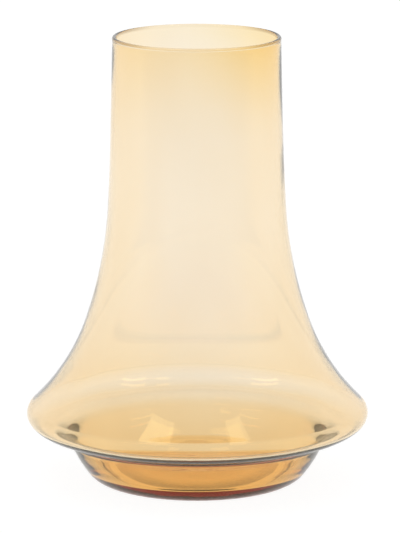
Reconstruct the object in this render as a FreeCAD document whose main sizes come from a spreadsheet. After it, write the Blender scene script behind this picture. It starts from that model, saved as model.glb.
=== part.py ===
import FreeCAD, Part
import math
import os

import Sketcher

# Transparent amber blown-glass vase, in millimetres.
# +Z is up, the origin is on the axis in the plane of the contact ring under the foot.
# The object is one continuous blown wall.  It is kept as six ring-shaped stretches of
# that wall, which meet face to face: lip, neck, bell, shoulder turn, foot bowl and the
# thick base.  Every stretch is a half section revolved about the Z axis.
#
# The section is a chain of stations, numbered from the mouth down the outside:
#   station 0  under the lip bead            station 6   start of the flat underside
#   station 1  end of the straight neck      station 7   end of the flat underside
#   station 2  neck / bell seam              station 8   below the waist of the bowl
#   station 3  change of flare in the bell   station 9   bowl / base seam
#   station 4  bell / shoulder seam          station 10  outer edge of the contact ring
#   station 5  change of curve in the turn
# Each station has the radius and height of the outer face, the slope of the wall there
# (degrees from straight down, positive outwards) and the wall thickness.

doc = FreeCAD.newDocument("amber_vase")
sheet = doc.addObject("Spreadsheet::Sheet", "Params")

CELLS = [
    # overall
    ("total_height", 308.73, "height of the rim above the table"),
    # outer face, radius and height at each station
    ("lip_radius", 57.42, "station 0"),
    ("lip_level", 305.93, "station 0"),
    ("lip_slope", 1.34, "station 0"),
    ("lip_wall", 2.5, "station 0"),
    ("neck_radius", 58.82, "station 1"),
    ("neck_level", 245.95, "station 1"),
    ("neck_slope", 1.34, "station 1"),
    ("neck_wall", 2.3, "station 1"),
    ("collar_radius", 60.92, "station 2"),
    ("collar_level", 193.2, "station 2"),
    ("collar_slope", 3.2, "station 2"),
    ("collar_wall", 2.1, "station 2"),
    ("flare_radius", 76.84, "station 3"),
    ("flare_level", 113.05, "station 3"),
    ("flare_slope", 19.27, "station 3"),
    ("flare_wall", 2.4, "station 3"),
    ("skirt_radius", 115.12, "station 4"),
    ("skirt_level", 53.35, "station 4"),
    ("skirt_slope", 46.07, "station 4"),
    ("skirt_wall", 3.09, "station 4"),
    ("roll_radius", 115.02, "station 5"),
    ("roll_level", 40.76, "station 5"),
    ("roll_slope", -46.98, "station 5"),
    ("roll_wall", 2.28, "station 5"),
    ("turn_radius", 105.57, "station 6"),
    ("turn_level", 36.04, "station 6"),
    ("turn_slope", -79.98, "station 6"),
    ("turn_wall", 2.98, "station 6"),
    ("waist_radius", 98.76, "station 7"),
    ("waist_level", 34.84, "station 7"),
    ("waist_slope", -79.98, "station 7"),
    ("waist_wall", 2.92, "station 7"),
    ("bowl_radius", 86.98, "station 8"),
    ("bowl_level", 25.54, "station 8"),
    ("bowl_slope", -23.48, "station 8"),
    ("bowl_wall", 6.69, "station 8"),
    ("heel_radius", 75.62, "station 9"),
    ("heel_level", 6.49, "station 9"),
    ("heel_slope", -38.14, "station 9"),
    ("heel_wall", 7.62, "station 9"),
    ("ring_radius", 62.27, "station 10, outer edge of the contact ring"),
    # arcs that are not fixed by their stations
    ("flare_curve", 292.3, "outer arc from station 2 to 3"),
    ("waist_curve", 15.86, "outer arc from station 7 to 8"),
    ("waist_inside", 30, "inner arc from station 7 to 8"),
    # lip bead
    ("bead_radius", 1.45, "half of the fire-polished bead's width"),
    ("bead_centre", 56.1, "radius of the bead's centre line"),
    # base
    ("ring_inner", 57.46, "inner edge of the contact ring"),
    ("punt_rise", 1.21, "rise of the hollow under the base, on the axis"),
    ("floor_radius", 66.57, "where the inside floor starts to curve up"),
    ("floor_level", 10.91, "inside floor there"),
    ("floor_centre", 13.68, "inside floor on the axis"),
]

for row, (alias, value, note) in enumerate(CELLS, start=1):
    sheet.set("A%d" % row, alias)
    sheet.set("B%d" % row, "%g" % value)
    sheet.setAlias("B%d" % row, alias)
    sheet.set("C%d" % row, note)
doc.recompute()


def cell(alias):
    return float(sheet.get(alias))


def outer(name):
    """Outer point of a station: coordinates and the expressions that give them."""
    return ((cell(name + "_radius"), cell(name + "_level")),
            ("Params.%s_radius" % name, "Params.%s_level" % name))


def inner(name):
    """Inner point of a station: one wall thickness inside the outer point."""
    a = math.radians(cell(name + "_slope"))
    w = cell(name + "_wall")
    pt = (cell(name + "_radius") - w * math.cos(a), cell(name + "_level") - w * math.sin(a))
    ex = ("Params.{0}_radius - Params.{0}_wall * cos(Params.{0}_slope)".format(name),
          "Params.{0}_level - Params.{0}_wall * sin(Params.{0}_slope)".format(name))
    return pt, ex


def point(r_alias, z_alias):
    """A point given by two cells; None stands for zero."""
    r = cell(r_alias) if r_alias else 0.0
    z = cell(z_alias) if z_alias else 0.0
    return ((r, z), ("Params." + r_alias if r_alias else None,
                     "Params." + z_alias if z_alias else None))


def direction(slope_deg):
    """Unit vector of travel down the wall at a slope."""
    a = math.radians(slope_deg)
    return (math.sin(a), -math.cos(a))


def mid_tangent_start(p, q, d):
    """Middle point of the arc from p to q that leaves p along d."""
    cx, cy = q[0] - p[0], q[1] - p[1]
    n = (-d[1], d[0])
    k = 2.0 * (cx * n[0] + cy * n[1]) / (cx * cx + cy * cy)
    if abs(k) < 1e-9:
        return ((p[0] + q[0]) / 2, (p[1] + q[1]) / 2)
    radius = 1.0 / k
    c = (p[0] + n[0] * radius, p[1] + n[1] * radius)
    m = ((p[0] + q[0]) / 2 - c[0], (p[1] + q[1]) / 2 - c[1])
    length = math.hypot(*m)
    s = abs(radius) / length
    # the arc is shorter than half a turn unless the chord points backwards
    if cx * d[0] + cy * d[1] < 0:
        s = -s
    return (c[0] + m[0] * s, c[1] + m[1] * s)


def mid_radius(p, q, radius, side):
    """Middle point of the short arc of a radius from p to q.
    side +1 puts the centre on the left of the way from p to q, -1 on its right."""
    cx, cy = q[0] - p[0], q[1] - p[1]
    c = math.hypot(cx, cy)
    sag = radius - math.sqrt(radius * radius - c * c / 4)
    n = (-cy / c, cx / c)
    return ((p[0] + q[0]) / 2 - side * n[0] * sag, (p[1] + q[1]) / 2 - side * n[1] * sag)


def body_of(label):
    body = doc.addObject("PartDesign::Body", label)
    body.Label = label
    return body


def origin_feature(body, role):
    for f in body.Origin.OriginFeatures:
        if f.Role == role:
            return f
    raise RuntimeError("no origin feature " + role)


def ring(label, points, edges, tangents=(), radii=(), centres=(), on_axis=()):
    """Revolve a closed half section.
    points   list of ((r, z), (r expression, z expression))
    edges    list of (i, j, kind, middle point), kind is "line" or "arc"
    tangents list of (edge, edge) pairs that join smoothly at their shared point
    radii    list of (edge, expression)
    centres  list of (edge, expression of the height of its arc's centre)
    on_axis  indices of points that lie on the Z axis"""
    body = body_of(label)
    sk = body.newObject("Sketcher::SketchObject", label + "_section")
    sk.AttachmentSupport = [(origin_feature(body, "XZ_Plane"), "")]
    sk.MapMode = "FlatFace"
    doc.recompute()
    V = FreeCAD.Vector
    ends = {}                       # (edge, point index) -> sketcher vertex number
    for k, (i, j, kind, mid) in enumerate(edges):
        a, b = points[i][0], points[j][0]
        if kind == "line":
            sk.addGeometry(Part.LineSegment(V(a[0], a[1], 0), V(b[0], b[1], 0)), False)
            ends[(k, i)], ends[(k, j)] = 1, 2
        else:
            # sketch arcs run counter-clockwise, so a clockwise one is drawn from its far end
            turn = (mid[0] - a[0]) * (b[1] - mid[1]) - (mid[1] - a[1]) * (b[0] - mid[0])
            if turn > 0:
                ends[(k, i)], ends[(k, j)] = 1, 2
            else:
                ends[(k, i)], ends[(k, j)] = 2, 1
                a, b = b, a
            sk.addGeometry(Part.Arc(V(a[0], a[1], 0), V(mid[0], mid[1], 0), V(b[0], b[1], 0)), False)
    smooth = {}
    for e, f in tangents:
        shared = (set(edges[e][:2]) & set(edges[f][:2])).pop()
        smooth[shared] = (e, f)
    n = len(edges)
    for k in range(n):
        e, f = k, (k + 1) % n
        shared = edges[e][1]
        if shared != edges[f][0]:
            raise RuntimeError(label + ": edges do not follow each other")
        kind = "Tangent" if shared in smooth else "Coincident"
        sk.addConstraint(Sketcher.Constraint(kind, e, ends[(e, shared)], f, ends[(f, shared)]))
    owner = {}
    for k, (i, j, kind, mid) in enumerate(edges):
        owner.setdefault(i, (k, ends[(k, i)]))
        owner.setdefault(j, (k, ends[(k, j)]))
    for i, ((r, z), (er, ez)) in enumerate(points):
        e, v = owner[i]
        if i in on_axis:
            sk.addConstraint(Sketcher.Constraint("PointOnObject", e, v, -2))
        else:
            c = sk.addConstraint(Sketcher.Constraint("DistanceX", -1, 1, e, v, r))
            sk.renameConstraint(c, "p%d_r" % i)
            sk.setExpression("Constraints.p%d_r" % i, er)
        if ez is None:
            sk.addConstraint(Sketcher.Constraint("PointOnObject", e, v, -1))
        else:
            c = sk.addConstraint(Sketcher.Constraint("DistanceY", -1, 1, e, v, z))
            sk.renameConstraint(c, "p%d_z" % i)
            sk.setExpression("Constraints.p%d_z" % i, ez)
    for e, ex in radii:
        c = sk.addConstraint(Sketcher.Constraint("Radius", e, sk.Geometry[e].Radius))
        sk.renameConstraint(c, "curve_%d" % e)
        sk.setExpression("Constraints.curve_%d" % e, ex)
    for e, ex in centres:
        c = sk.addConstraint(Sketcher.Constraint("DistanceY", -1, 1, e, 3, sk.Geometry[e].Center.y))
        sk.renameConstraint(c, "centre_%d" % e)
        sk.setExpression("Constraints.centre_%d" % e, ex)
    doc.recompute()
    rev = body.newObject("PartDesign::Revolution", label + "_turned")
    rev.Profile = sk
    rev.ReferenceAxis = (sk, ["V_Axis"])
    rev.Angle = 360.0
    doc.recompute()
    return body, sk


bodies = []
sketches = []


def keep(pair):
    bodies.append(pair[0])
    sketches.append(pair[1])
    return pair[0]


# lip_ring: the fire-polished bead, a half round on a short straight shank
bead = cell("bead_radius")
bead_level = cell("total_height") - bead
o0, i0 = outer("lip"), inner("lip")
bead_out = ((cell("bead_centre") + bead, bead_level),
            ("Params.bead_centre + Params.bead_radius", "Params.total_height - Params.bead_radius"))
bead_in = ((cell("bead_centre") - bead, bead_level),
           ("Params.bead_centre - Params.bead_radius", "Params.total_height - Params.bead_radius"))
keep(ring("lip_ring",
          [o0, bead_out, bead_in, i0],
          [(0, 1, "line", None),
           (1, 2, "arc", (cell("bead_centre"), cell("total_height"))),
           (2, 3, "line", None),
           (3, 0, "line", None)],
          centres=[(1, "Params.total_height - Params.bead_radius")]))

# neck_wall: slightly tapered tube that begins to flare
o1, i1 = outer("neck"), inner("neck")
o2, i2 = outer("collar"), inner("collar")
d_out = (o1[0][0] - o0[0][0], o1[0][1] - o0[0][1])
d_in = (i1[0][0] - i0[0][0], i1[0][1] - i0[0][1])
unit = lambda d: (d[0] / math.hypot(*d), d[1] / math.hypot(*d))
m_in = mid_tangent_start(i1[0], i2[0], unit(d_in))
keep(ring("neck_wall",
          [o0, o1, o2, i2, i1, i0],
          [(0, 1, "line", None),
           (1, 2, "arc", mid_tangent_start(o1[0], o2[0], unit(d_out))),
           (2, 3, "line", None),
           (3, 4, "arc", m_in),
           (4, 5, "line", None),
           (5, 0, "line", None)],
          tangents=[(0, 1), (3, 4)]))

# bell_wall: the flare, two arcs a side
o3, i3 = outer("flare"), inner("flare")
o4, i4 = outer("skirt"), inner("skirt")
curve_out = cell("flare_curve")
curve_in = curve_out + cell("flare_wall")


def leave(p, q, radius, side):
    """Direction in which the short arc of a radius from p arrives at q."""
    cx, cy = q[0] - p[0], q[1] - p[1]
    c = math.hypot(cx, cy)
    half = math.asin(c / (2 * radius))
    a = math.atan2(cy, cx) + side * half
    return (math.cos(a), math.sin(a))


keep(ring("bell_wall",
          [o2, o3, o4, i4, i3, i2],
          [(0, 1, "arc", mid_radius(o2[0], o3[0], curve_out, 1)),
           (1, 2, "arc", mid_tangent_start(o3[0], o4[0], leave(o2[0], o3[0], curve_out, 1))),
           (2, 3, "line", None),
           (3, 4, "arc", mid_tangent_start(i3[0], i4[0], leave(i2[0], i3[0], curve_in, 1))),
           (4, 5, "arc", mid_radius(i2[0], i3[0], curve_in, 1)),
           (5, 0, "line", None)],
          tangents=[(0, 1), (3, 4)],
          radii=[(0, "Params.flare_curve"), (4, "Params.flare_curve + Params.flare_wall")]))

# shoulder_turn: the tight outer turn, two arcs a side, and the nearly flat underside
# behind it
o5, i5 = outer("roll"), inner("roll")
o6, i6 = outer("turn"), inner("turn")
o7, i7 = outer("waist"), inner("waist")


def turn_arcs(first, middle, last, line_end):
    """Middle points of the two arcs first-middle and middle-last, which join smoothly with
    each other and with the line from last to line_end."""
    back = unit((last[0] - line_end[0], last[1] - line_end[1]))
    low = mid_tangent_start(last, middle, back)
    # direction at the middle point, from the circle through last, low and middle
    chord = (middle[0] - last[0], middle[1] - last[1])
    length = math.hypot(*chord)
    along = (chord[0] * back[0] + chord[1] * back[1]) / length
    ahead = (2 * along * chord[0] / length - back[0], 2 * along * chord[1] / length - back[1])
    return mid_tangent_start(middle, first, ahead), low


hi_out, lo_out = turn_arcs(o4[0], o5[0], o6[0], o7[0])
hi_in, lo_in = turn_arcs(i4[0], i5[0], i6[0], i7[0])
keep(ring("shoulder_turn",
          [o4, o5, o6, o7, i7, i6, i5, i4],
          [(0, 1, "arc", hi_out),
           (1, 2, "arc", lo_out),
           (2, 3, "line", None),
           (3, 4, "line", None),
           (4, 5, "line", None),
           (5, 6, "arc", lo_in),
           (6, 7, "arc", hi_in),
           (7, 0, "line", None)],
          tangents=[(0, 1), (1, 2), (4, 5), (5, 6)]))

# bowl_wall: the waist under the shoulder and the foot bowl, which thickens downwards
o8, i8 = outer("bowl"), inner("bowl")
o9, i9 = outer("heel"), inner("heel")
w_out = cell("waist_curve")
w_in = cell("waist_inside")
keep(ring("bowl_wall",
          [o7, o8, o9, i9, i8, i7],
          [(0, 1, "arc", mid_radius(o7[0], o8[0], w_out, 1)),
           (1, 2, "arc", mid_tangent_start(o8[0], o9[0], leave(o7[0], o8[0], w_out, 1))),
           (2, 3, "line", None),
           (3, 4, "arc", mid_tangent_start(i8[0], i9[0], leave(i7[0], i8[0], w_in, 1))),
           (4, 5, "arc", mid_radius(i7[0], i8[0], w_in, 1)),
           (5, 0, "line", None)],
          tangents=[(0, 1), (3, 4)],
          radii=[(0, "Params.waist_curve"), (4, "Params.waist_inside")]))

# base_pad: the thick solid bottom, with a flat contact ring and a shallow hollow inside it
p_ring = point("ring_radius", None)
p_ring_in = point("ring_inner", None)
p_punt = point(None, "punt_rise")
p_floor_mid = point(None, "floor_centre")
p_floor = point("floor_radius", "floor_level")


def dome(edge, centre):
    """Middle point of the arc from an edge point to a point on the axis, level there."""
    dr, dz = edge[0], centre[1] - edge[1]
    radius = (dr * dr + dz * dz) / (2 * abs(dz))
    half = math.asin(dr / radius) / 2
    sign = 1 if dz > 0 else -1
    return (radius * math.sin(half), centre[1] - sign * radius * (1 - math.cos(half)))


keep(ring("base_pad",
          [o9, p_ring, p_ring_in, p_punt, p_floor_mid, p_floor, i9],
          [(0, 1, "arc", mid_tangent_start(p_ring[0], o9[0], (1.0, 0.0))),
           (1, 2, "line", None),
           (2, 3, "arc", dome(p_ring_in[0], p_punt[0])),
           (3, 4, "line", None),
           (4, 5, "arc", dome(p_floor[0], p_floor_mid[0])),
           (5, 6, "arc", mid_tangent_start(p_floor[0], i9[0], (1.0, 0.0))),
           (6, 0, "line", None)],
          tangents=[(0, 1)],
          on_axis=(3, 4)))

doc.recompute()

# every object and every sub-part has to be sound before anything is written
for obj in doc.Objects:
    for flag in ("Invalid", "Error"):
        if flag in obj.State:
            raise RuntimeError("%s is %s" % (obj.Name, obj.State))
for body, sk in zip(bodies, sketches):
    shape = body.Shape
    if shape.isNull() or not shape.isValid() or len(shape.Solids) != 1:
        raise RuntimeError(body.Label + " is not one valid solid")
    box = shape.optimalBoundingBox(True, False)
    print("%-14s volume %8.1f mm3  z %7.3f to %7.3f  r %7.3f  sketch solved %s" % (
        body.Label, shape.Volume, box.ZMin, box.ZMax, box.XMax, sk.solve() == 0))

os.makedirs("parts", exist_ok=True)
for body in bodies:
    body.Shape.exportStep("parts/%s.step" % body.Label)
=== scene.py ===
import math

import bpy
import bmesh
from mathutils import Matrix, Vector, noise


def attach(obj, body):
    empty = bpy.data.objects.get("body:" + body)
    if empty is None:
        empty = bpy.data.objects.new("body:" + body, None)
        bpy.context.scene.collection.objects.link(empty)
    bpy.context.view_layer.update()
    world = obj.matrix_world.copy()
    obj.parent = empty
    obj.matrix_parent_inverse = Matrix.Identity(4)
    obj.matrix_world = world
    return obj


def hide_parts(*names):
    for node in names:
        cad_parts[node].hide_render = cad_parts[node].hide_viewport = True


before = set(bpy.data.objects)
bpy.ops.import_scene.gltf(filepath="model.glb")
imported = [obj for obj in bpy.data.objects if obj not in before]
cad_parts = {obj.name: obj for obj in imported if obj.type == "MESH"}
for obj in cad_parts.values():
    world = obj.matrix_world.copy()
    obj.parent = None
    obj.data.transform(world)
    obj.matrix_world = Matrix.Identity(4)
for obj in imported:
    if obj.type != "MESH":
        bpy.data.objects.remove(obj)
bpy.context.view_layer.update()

MM = 0.001

# ----------------------------------------------------------------------------------
# Profile of the glass wall, in millimetres.  One chain of tangent arcs is the outer
# face; the inner face lies one wall thickness inside it, and the thickness changes
# smoothly from station to station.
# slope = degrees from straight down, positive when the wall flares outwards.
# ----------------------------------------------------------------------------------


def chain(start, pieces):
    """Points (r, z, slope, running length) along tangent lines and arcs, and the running
    length at the end of each piece."""
    pts = [(start[0], start[1], pieces[0][2], 0.0)]
    marks = [0.0]
    r, z = start
    run = 0.0
    for kind, size, a0, a1, step in pieces:
        if kind == "line":
            n = max(2, int(math.ceil(size / step)))
            a = math.radians(a0)
            for k in range(1, n + 1):
                d = size * k / n
                pts.append((r + math.sin(a) * d, z - math.cos(a) * d, a0, run + d))
            run += size
        else:
            sweep = math.radians(abs(a1 - a0))
            n = max(8, int(math.ceil(size * sweep / step)), int(math.ceil(math.degrees(sweep) / 3.0)))
            sg = 1 if a1 > a0 else -1
            ar = math.radians(a0)
            for k in range(1, n + 1):
                b = math.radians(a0 + (a1 - a0) * k / n)
                pts.append((r + sg * size * (math.cos(ar) - math.cos(b)),
                            z - sg * size * (math.sin(b) - math.sin(ar)), math.degrees(b),
                            run + size * sweep * k / n))
            run += size * sweep
        r, z = pts[-1][0], pts[-1][1]
        marks.append(run)
    return pts, marks


def spline(xs, ys, x):
    """Monotone cubic through the knots (xs, ys)."""
    n = len(xs)
    h = [xs[k + 1] - xs[k] for k in range(n - 1)]
    d = [(ys[k + 1] - ys[k]) / h[k] for k in range(n - 1)]
    m = [d[0]] + [0.0] * (n - 2) + [d[-1]]
    for k in range(1, n - 1):
        if d[k - 1] * d[k] > 0:
            w1, w2 = 2 * h[k] + h[k - 1], h[k] + 2 * h[k - 1]
            m[k] = (w1 + w2) / (w1 / d[k - 1] + w2 / d[k])
    k = 0
    while k < n - 2 and x > xs[k + 1]:
        k += 1
    t = (x - xs[k]) / h[k]
    return ((1 + 2 * t) * (1 - t) ** 2 * ys[k] + t * (1 - t) ** 2 * h[k] * m[k]
            + t * t * (3 - 2 * t) * ys[k + 1] + t * t * (t - 1) * h[k] * m[k + 1])


OUTER, RUN = chain((57.419, 305.927), [
    ("line", 59.991, 1.341, 1.341, 3.6),
    ("arc", 1626.219, 1.341, 3.201, 3.6),
    ("arc", 292.309, 3.201, 19.272, 2.6),
    ("arc", 153.021, 19.272, 46.069, 2.0),
    ("arc", 8.678, 46.069, -46.983, 0.5),
    ("arc", 18.602, -46.983, -79.983, 0.7),
    ("line", 6.908, -79.983, -79.983, 1.0),
    ("arc", 15.859, -79.983, -23.478, 0.7),
    ("arc", 86.929, -23.478, -38.136, 1.1),
])
TOP = 308.73


def between(k, t=0.5):
    return RUN[k] + (RUN[k + 1] - RUN[k]) * t


# running length along the outer face, wall thickness there
WALL = [(RUN[0], 2.5), (RUN[1], 2.3), (RUN[2], 2.1), (RUN[3], 2.4), (between(3), 2.7), (RUN[4], 3.09),
        (RUN[5], 2.28), (RUN[6], 2.98), (RUN[7], 2.92), (between(7), 3.9), (RUN[8], 6.69),
        (between(8), 7.15), (RUN[9], 7.62)]


def smooth(t):
    return t * t * (3 - 2 * t)


def wall_at(run):
    return spline([w[0] for w in WALL], [w[1] for w in WALL], run)


def bezier(p0, p1, p2, p3, n):
    out = []
    for k in range(1, n + 1):
        t = k / float(n)
        s = 1 - t
        out.append(tuple(s ** 3 * a + 3 * s * s * t * b + 3 * s * t * t * c + t ** 3 * d
                         for a, b, c, d in zip(p0, p1, p2, p3)))
    return out


def profile():
    """Closed half section from the top of the lip, down the outside, under the foot,
    to the axis, then from the axis over the floor and up the inside to the lip."""
    out = []
    # bead, outer half: from its top to the outer face
    c, rad, top = 56.1, 1.45, TOP
    level = top - rad
    for k in range(0, 9):
        a = math.radians(90 - 90 * k / 9.0)
        out.append((c + rad * math.cos(a), level + rad * math.sin(a)))
    p, q = (c + rad, level), (OUTER[0][0], OUTER[0][1])
    out.append(p)
    out += bezier(p, (p[0], p[1] - 0.45), (q[0] - 0.006, q[1] + 0.45), q, 4)[:-1]
    out += [(p[0], p[1]) for p in OUTER]
    # heel arc into the contact ring
    heel = OUTER[-1]
    a0 = math.radians(heel[2])
    R = heel[1] / (1 - math.sin(-a0))          # lands level at z = 0
    for k in range(1, 15):
        b = a0 + (math.radians(-90) - a0) * k / 14.0
        out.append((heel[0] - R * (math.cos(a0) - math.cos(b)), heel[1] + R * (math.sin(b) - math.sin(a0))))
    r_end = out[-1][0]
    # contact ring, flat at z = 0, then the shallow hollow
    ring_in = 57.46
    for k in range(1, 7):
        t = k / 6.0
        out.append((r_end + (ring_in - r_end) * t, 0.0))
    punt = 1.21
    for k in range(1, 19):
        t = k / 18.0
        r = ring_in * (1 - t)
        x = min(1.0, t / 0.35)
        out.append((r, punt * (1 - (r / ring_in) ** 2) * smooth(x) if t < 0.35 else punt * (1 - (r / ring_in) ** 2)))
    n_out = len(out)
    # inner face, from the axis outwards
    ins = []
    floor_c, floor_e, r_e, k1, k2 = 13.68, 10.91, 66.57, 1.6, 1.6
    for k in range(0, 24):
        r = r_e * k / 24.0
        ins.append((r, floor_e + (floor_c - floor_e) * (1 - (r / r_e) ** 2)))
    # offset points of the wall, from the bowl upwards
    off = []
    for i in range(len(OUTER) - 1, -1, -1):
        r, z, s, run = OUTER[i]
        a = math.radians(s)
        w = wall_at(run)
        off.append((r - w * math.cos(a), z - w * math.sin(a)))
    q0 = off[0]
    d = (off[1][0] - off[0][0], off[1][1] - off[0][1])
    l = math.hypot(*d)
    d = (d[0] / l, d[1] / l)
    ins.append((r_e, floor_e))
    ins += bezier((r_e, floor_e), (r_e + k1, floor_e), (q0[0] - d[0] * k2, q0[1] - d[1] * k2), q0, 28)[:-1]
    ins += off
    q, p = off[-1], (c - rad, level)
    ins += bezier(q, (q[0] + 0.004, q[1] + 0.45), (p[0], p[1] - 0.45), p, 4)[:-1]
    for k in range(0, 9):
        a = math.radians(180 - 90 * k / 9.0)
        ins.append((c + rad * math.cos(a), level + rad * math.sin(a)))
    return out, ins, n_out


out_pts, in_pts, n_out = profile()


def wave(r, z, ang, seed):
    """Slight unevenness of hand-blown glass, in millimetres."""
    x, y = math.cos(ang), math.sin(ang)
    p = Vector((x * 1.3 + seed * 7.1, y * 1.3 - seed * 3.3, z * 0.011 + seed))
    v = noise.noise(p) * 0.22
    p = Vector((x * 3.1 - seed * 2.7, y * 3.1 + seed * 5.9, z * 0.028 - seed))
    v += noise.noise(p) * 0.07
    return v


def lean(z):
    """The blower's axis wanders a little to +X in the bell, in millimetres."""
    if z > 80.0:
        return 0.5 * math.exp(-((z - 80.0) / 75.0) ** 2)
    return 0.5 * smooth(max(0.0, min(1.0, (z - 22.0) / 40.0)))


def make_glass():
    seg = 190
    bm = bmesh.new()
    rings = []

    def add_ring(r, z, fade, seed, nr, nz):
        ring = []
        for k in range(seg):
            a = 2 * math.pi * k / seg
            dlt = wave(r, z, a, seed) * fade
            rr, zz = r + nr * dlt, z + nz * dlt
            ring.append(bm.verts.new(((rr * math.cos(a) + lean(z)) * MM, rr * math.sin(a) * MM, zz * MM)))
        return ring

    def normals(pts):
        res = []
        for i in range(len(pts)):
            a = pts[max(0, i - 1)]
            b = pts[min(len(pts) - 1, i + 1)]
            d = (b[0] - a[0], b[1] - a[1])
            l = math.hypot(*d) or 1.0
            res.append((-d[1] / l, d[0] / l))
        return res

    no, ni = normals(out_pts), normals(in_pts)
    for i, (r, z) in enumerate(out_pts):
        if r < 1e-6:
            rings.append([bm.verts.new((0, 0, z * MM))])
            continue
        fade = min(1.0, max(0.0, (z - 1.5) / 20.0)) * min(1.0, (TOP - z) / 12.0 + 0.15)
        rings.append(add_ring(r, z, fade, 1.0, *no[i]))
    for i, (r, z) in enumerate(in_pts):
        if r < 1e-6:
            rings.append([bm.verts.new((0, 0, z * MM))])
            continue
        fade = min(1.0, (TOP - z) / 12.0 + 0.15)
        rings.append(add_ring(r, z, fade, 2.0, *ni[i]))
    order = rings + [rings[0]]
    for a, b in zip(order, order[1:]):
        if len(a) == 1 and len(b) == 1:
            continue                                   # the axis, between hollow and floor
        for k in range(seg):
            k2 = (k + 1) % seg
            if len(a) == 1:
                f = (a[0], b[k2], b[k])
            elif len(b) == 1:
                f = (a[k], a[k2], b[0])
            else:
                f = (a[k], a[k2], b[k2], b[k])
            bm.faces.new(f)
    bmesh.ops.recalc_face_normals(bm, faces=bm.faces)
    for f in bm.faces:
        f.smooth = True
    me = bpy.data.meshes.new("glass_body")
    bm.to_mesh(me)
    bm.free()
    ob = bpy.data.objects.new("glass_body", me)
    bpy.context.collection.objects.link(ob)
    return ob


# ----------------------------------------------------------------------------------
# Materials
# ----------------------------------------------------------------------------------


def new_material(name):
    m = bpy.data.materials.new(name)
    m.use_nodes = True
    nt = m.node_tree
    nt.nodes.clear()
    return m, nt


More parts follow.
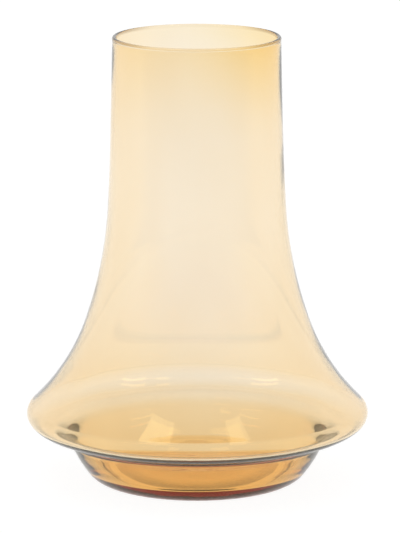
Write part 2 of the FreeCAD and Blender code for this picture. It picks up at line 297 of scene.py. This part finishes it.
def glass_material():
    m, nt = new_material("amber_glass")
    N, L = nt.nodes, nt.links
    out = N.new("ShaderNodeOutputMaterial")
    bsdf = N.new("ShaderNodeBsdfPrincipled")
    vol = N.new("ShaderNodeVolumeAbsorption")
    L.new(bsdf.outputs[0], out.inputs["Surface"])
    L.new(vol.outputs[0], out.inputs["Volume"])
    bsdf.inputs["IOR"].default_value = 1.5
    bsdf.inputs["Transmission Weight"].default_value = 1.0
    bsdf.inputs["Metallic"].default_value = 0.0
    # reflections inside and on the skin carry a trace of the amber
    bsdf.inputs["Specular Tint"].default_value = (1.0, 0.76, 0.30, 1.0)
    # coloured through: per metre of glass, strongest in blue, least in red
    density = 120.0
    keep = (0.905, 0.645, 0.09)
    vol.inputs["Color"].default_value = (*keep, 1.0)
    vol.inputs["Density"].default_value = density

    tc = N.new("ShaderNodeTexCoord")
    # faint vertical cords and clouds of the gather, only a trace of tint
    mp = N.new("ShaderNodeMapping")
    mp.inputs["Scale"].default_value = (34.0, 34.0, 5.0)
    L.new(tc.outputs["Object"], mp.inputs["Vector"])
    cords = N.new("ShaderNodeTexNoise")
    cords.inputs["Scale"].default_value = 1.0
    cords.inputs["Detail"].default_value = 3.0
    L.new(mp.outputs[0], cords.inputs["Vector"])
    tint = N.new("ShaderNodeValToRGB")
    tint.color_ramp.elements[0].position = 0.3
    tint.color_ramp.elements[0].color = (0.989, 0.975, 0.972, 1)
    tint.color_ramp.elements[1].position = 0.7
    tint.color_ramp.elements[1].color = (0.997, 0.990, 0.997, 1)
    L.new(cords.outputs["Fac"], tint.inputs["Fac"])

    # the gather was deeper in colour at the top, most of all on the +X side
    sep = N.new("ShaderNodeSeparateXYZ")
    L.new(tc.outputs["Object"], sep.inputs[0])
    rise = N.new("ShaderNodeMapRange")
    rise.inputs["From Min"].default_value = 0.245
    rise.inputs["From Max"].default_value = 0.303
    L.new(sep.outputs["Z"], rise.inputs["Value"])
    bend = N.new("ShaderNodeMath")
    bend.operation = "POWER"
    bend.inputs[1].default_value = 1.2
    L.new(rise.outputs[0], bend.inputs[0])
    across = N.new("ShaderNodeMapRange")
    across.interpolation_type = "SMOOTHSTEP"
    across.inputs["From Min"].default_value = -0.015
    across.inputs["From Max"].default_value = 0.050
    across.inputs["To Min"].default_value = 0.42
    across.inputs["To Max"].default_value = 1.0
    L.new(sep.outputs["X"], across.inputs["Value"])
    both = N.new("ShaderNodeMath")
    both.operation = "MULTIPLY"
    L.new(bend.outputs[0], both.inputs[0])
    L.new(across.outputs[0], both.inputs[1])
    deep = N.new("ShaderNodeValToRGB")
    deep.color_ramp.elements[0].position = 0.0
    deep.color_ramp.elements[0].color = (1.0, 1.0, 1.0, 1)
    deep.color_ramp.elements[1].position = 1.0
    deep.color_ramp.elements[1].color = (1.0, 0.905, 0.665, 1)
    L.new(both.outputs[0], deep.inputs["Fac"])
    join = N.new("ShaderNodeVectorMath")
    join.operation = "MULTIPLY"
    L.new(tint.outputs["Color"], join.inputs[0])
    L.new(deep.outputs["Color"], join.inputs[1])

    # painted shade: the remelted rim's bead is darkened towards brown, most of all at its two sides (±X)
    bead = N.new("ShaderNodeMapRange")
    bead.inputs["From Min"].default_value = 0.3066
    bead.inputs["From Max"].default_value = 0.3078
    L.new(sep.outputs["Z"], bead.inputs["Value"])
    away = N.new("ShaderNodeMath")
    away.operation = "ABSOLUTE"
    L.new(sep.outputs["X"], away.inputs[0])
    side_shade_mask = N.new("ShaderNodeMapRange")
    side_shade_mask.interpolation_type = "SMOOTHSTEP"
    side_shade_mask.inputs["From Min"].default_value = 0.026
    side_shade_mask.inputs["From Max"].default_value = 0.054
    side_shade_mask.inputs["To Min"].default_value = 0.06
    side_shade_mask.inputs["To Max"].default_value = 1.0
    L.new(away.outputs[0], side_shade_mask.inputs["Value"])
    rim = N.new("ShaderNodeMath")
    rim.operation = "MULTIPLY"
    L.new(bead.outputs[0], rim.inputs[0])
    L.new(side_shade_mask.outputs[0], rim.inputs[1])
    # colour of the painted shade laid on the rim bead
    painted_rim_shade = N.new("ShaderNodeValToRGB")
    painted_rim_shade.color_ramp.elements[0].position = 0.0
    painted_rim_shade.color_ramp.elements[0].color = (1.0, 1.0, 1.0, 1)
    painted_rim_shade.color_ramp.elements[1].position = 1.0
    painted_rim_shade.color_ramp.elements[1].color = (0.40, 0.33, 0.28, 1)
    L.new(rim.outputs[0], painted_rim_shade.inputs["Fac"])
    last = N.new("ShaderNodeVectorMath")
    last.operation = "MULTIPLY"
    L.new(join.outputs[0], last.inputs[0])
    L.new(painted_rim_shade.outputs["Color"], last.inputs[1])
    L.new(last.outputs[0], bsdf.inputs["Base Color"])

    # surface: fire-polished; fine wear only on the contact ring and faint handling haze
    haze = N.new("ShaderNodeTexNoise")
    haze.inputs["Scale"].default_value = 55.0
    haze.inputs["Detail"].default_value = 5.0
    L.new(tc.outputs["Object"], haze.inputs["Vector"])
    hz = N.new("ShaderNodeMapRange")
    hz.inputs["From Min"].default_value = 0.45
    hz.inputs["From Max"].default_value = 0.75
    hz.inputs["To Min"].default_value = 0.0
    hz.inputs["To Max"].default_value = 0.018
    L.new(haze.outputs["Fac"], hz.inputs["Value"])
    ring = N.new("ShaderNodeMapRange")
    ring.inputs["From Min"].default_value = 0.0
    ring.inputs["From Max"].default_value = 0.0006
    ring.inputs["To Min"].default_value = 1.0
    ring.inputs["To Max"].default_value = 0.0
    L.new(sep.outputs["Z"], ring.inputs["Value"])
    scr = N.new("ShaderNodeTexNoise")
    scr.inputs["Scale"].default_value = 900.0
    scr.inputs["Detail"].default_value = 4.0
    L.new(tc.outputs["Object"], scr.inputs["Vector"])
    wear = N.new("ShaderNodeMath")
    wear.operation = "MULTIPLY"
    L.new(ring.outputs[0], wear.inputs[0])
    L.new(scr.outputs["Fac"], wear.inputs[1])
    wear2 = N.new("ShaderNodeMath")
    wear2.operation = "MULTIPLY"
    wear2.inputs[1].default_value = 0.35
    L.new(wear.outputs[0], wear2.inputs[0])
    rough = N.new("ShaderNodeMath")
    rough.operation = "ADD"
    L.new(hz.outputs[0], rough.inputs[0])
    L.new(wear2.outputs[0], rough.inputs[1])
    L.new(rough.outputs[0], bsdf.inputs["Roughness"])

    # very gentle undulation of the skin
    und = N.new("ShaderNodeTexNoise")
    und.inputs["Scale"].default_value = 1.0
    und.inputs["Detail"].default_value = 2.0
    mp2 = N.new("ShaderNodeMapping")
    mp2.inputs["Scale"].default_value = (60.0, 60.0, 22.0)
    L.new(tc.outputs["Object"], mp2.inputs["Vector"])
    L.new(mp2.outputs[0], und.inputs["Vector"])
    bump = N.new("ShaderNodeBump")
    bump.inputs["Strength"].default_value = 0.25
    bump.inputs["Distance"].default_value = 0.00012
    L.new(und.outputs["Fac"], bump.inputs["Height"])
    L.new(bump.outputs[0], bsdf.inputs["Normal"])
    return m


def floor_material():
    """Pale floor with painted light: it glows by itself, brightest behind the object and falling off towards the
    viewer.
    """
    m, nt = new_material("studio_floor")
    N, L = nt.nodes, nt.links
    out = N.new("ShaderNodeOutputMaterial")
    d = N.new("ShaderNodeBsdfDiffuse")
    d.inputs["Color"].default_value = (0.16, 0.16, 0.16, 1)
    tc = N.new("ShaderNodeTexCoord")
    sep = N.new("ShaderNodeSeparateXYZ")
    L.new(tc.outputs["Object"], sep.inputs[0])
    painted_glow_ramp = N.new("ShaderNodeMapRange")
    painted_glow_ramp.interpolation_type = "SMOOTHSTEP"
    painted_glow_ramp.inputs["From Min"].default_value = -1.0
    painted_glow_ramp.inputs["From Max"].default_value = -0.17
    painted_glow_ramp.inputs["To Min"].default_value = 0.52
    painted_glow_ramp.inputs["To Max"].default_value = 0.93
    L.new(sep.outputs["Y"], painted_glow_ramp.inputs["Value"])
    # painted light: the floor's own glow, its strength set by the ramp above
    e = N.new("ShaderNodeEmission")
    e.inputs["Color"].default_value = (1, 1, 1, 1)
    L.new(painted_glow_ramp.outputs[0], e.inputs["Strength"])
    add = N.new("ShaderNodeAddShader")
    L.new(d.outputs[0], add.inputs[0])
    L.new(e.outputs[0], add.inputs[1])
    L.new(add.outputs[0], out.inputs["Surface"])
    return m


glass = make_glass()
glass.data.materials.append(glass_material())
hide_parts("lip_ring", "neck_wall", "bell_wall", "shoulder_turn", "bowl_wall", "base_pad")
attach(glass, "root")

# ----------------------------------------------------------------------------------
# Studio: pale floor, pale surround, soft boxes
# ----------------------------------------------------------------------------------
bpy.ops.mesh.primitive_plane_add(size=40, location=(0, 0, 0))
floor = bpy.context.object
floor.name = "floor"
floor.data.materials.append(floor_material())

world = bpy.data.worlds.new("studio")
bpy.context.scene.world = world
world.use_nodes = True
nt = world.node_tree
nt.nodes.clear()
N, L = nt.nodes, nt.links
wo = N.new("ShaderNodeOutputWorld")
bg = N.new("ShaderNodeBackground")
tc = N.new("ShaderNodeTexCoord")
sep = N.new("ShaderNodeSeparateXYZ")
L.new(tc.outputs["Generated"], sep.inputs[0])


def ramp(source, stops):
    r = N.new("ShaderNodeValToRGB")
    L.new(source, r.inputs["Fac"])
    cr = r.color_ramp
    while len(cr.elements) < len(stops):
        cr.elements.new(0.5)
    for el, (pos, val) in zip(cr.elements, stops):
        el.position = pos
        el.color = (val, val, val, 1)
    return r.outputs["Color"]


# bright low surround, greyer overhead, and greyer still on the viewer's side
height = ramp(sep.outputs["Z"], [(0.0, 1.0), (0.42, 1.0), (0.80, 0.40), (1.0, 0.55)])
side = N.new("ShaderNodeMapRange")
side.interpolation_type = "SMOOTHSTEP"
side.inputs["From Min"].default_value = -0.95
side.inputs["From Max"].default_value = -0.30
side.inputs["To Min"].default_value = 0.5
side.inputs["To Max"].default_value = 1.0
L.new(sep.outputs["Y"], side.inputs["Value"])
mul = N.new("ShaderNodeVectorMath")
mul.operation = "SCALE"
L.new(height, mul.inputs[0])
L.new(side.outputs[0], mul.inputs["Scale"])
L.new(mul.outputs[0], bg.inputs["Color"])
bg.inputs["Strength"].default_value = 1.0
L.new(bg.outputs[0], wo.inputs["Surface"])


def soft_box(name, loc, size, radiance, tilt):
    """Rectangular soft box overhead, tipped towards the vase."""
    li = bpy.data.lights.new(name, "AREA")
    li.shape = "RECTANGLE"
    li.size, li.size_y = size
    li.energy = radiance * math.pi * size[0] * size[1]
    ob = bpy.data.objects.new(name, li)
    bpy.context.collection.objects.link(ob)
    ob.location = loc
    ob.rotation_euler = (math.radians(tilt), 0, 0)
    return ob


soft_box("box_left", (-0.535, -0.45, 1.6), (0.41, 0.5), 2.2, 17)
soft_box("box_right", (0.53, -0.45, 1.6), (0.26, 0.5), 2.2, 17)


def strip(name, a, b, width, radiance):
    """Narrow lamp between two points 1.6 m up, aimed at the shoulder of the vase."""
    a, b = Vector((a[0], a[1], 1.6)), Vector((b[0], b[1], 1.6))
    along = (b - a).normalized()
    mid = (a + b) / 2
    aim = Vector((0.0, -0.08, 0.09)) - mid
    z = -(aim - along * aim.dot(along)).normalized()
    li = bpy.data.lights.new(name, "AREA")
    li.shape = "RECTANGLE"
    li.size, li.size_y = (b - a).length, width
    li.energy = radiance * math.pi * li.size * width
    ob = bpy.data.objects.new(name, li)
    bpy.context.collection.objects.link(ob)
    ob.matrix_world = Matrix.Translation(mid) @ Matrix((along, z.cross(along), z)).transposed().to_4x4()
    return ob


# thin glints on the shoulder
strip("glint_left", (-2.20, -0.50), (-1.52, -1.16), 0.045, 3.0)
strip("glint_middle", (-1.20, -1.36), (-0.84, -1.52), 0.040, 2.4)
strip("glint_right", (1.59, -1.11), (2.35, -0.32), 0.045, 3.0)

# ----------------------------------------------------------------------------------
# Camera: slightly above the mouth, long lens
# ----------------------------------------------------------------------------------
cam = bpy.data.cameras.new("camera")
cam.sensor_fit = "VERTICAL"
cam.sensor_height = 36.0
cam.lens = 4244.0 / 533.0 * 36.0
cam.clip_start = 0.05
cam.clip_end = 100.0
cam_ob = bpy.data.objects.new("camera", cam)
bpy.context.collection.objects.link(cam_ob)
cam_ob.location = (0.0022, -2.850, 0.7444)
cam_ob.rotation_euler = (math.radians(90 - 11.8), 0, 0)
bpy.context.scene.camera = cam_ob

sc = bpy.context.scene
sc.view_settings.view_transform = "Standard"
sc.view_settings.look = "None"
sc.view_settings.exposure = 0.0
sc.view_settings.gamma = 1.0

bpy.context.view_layer.update()
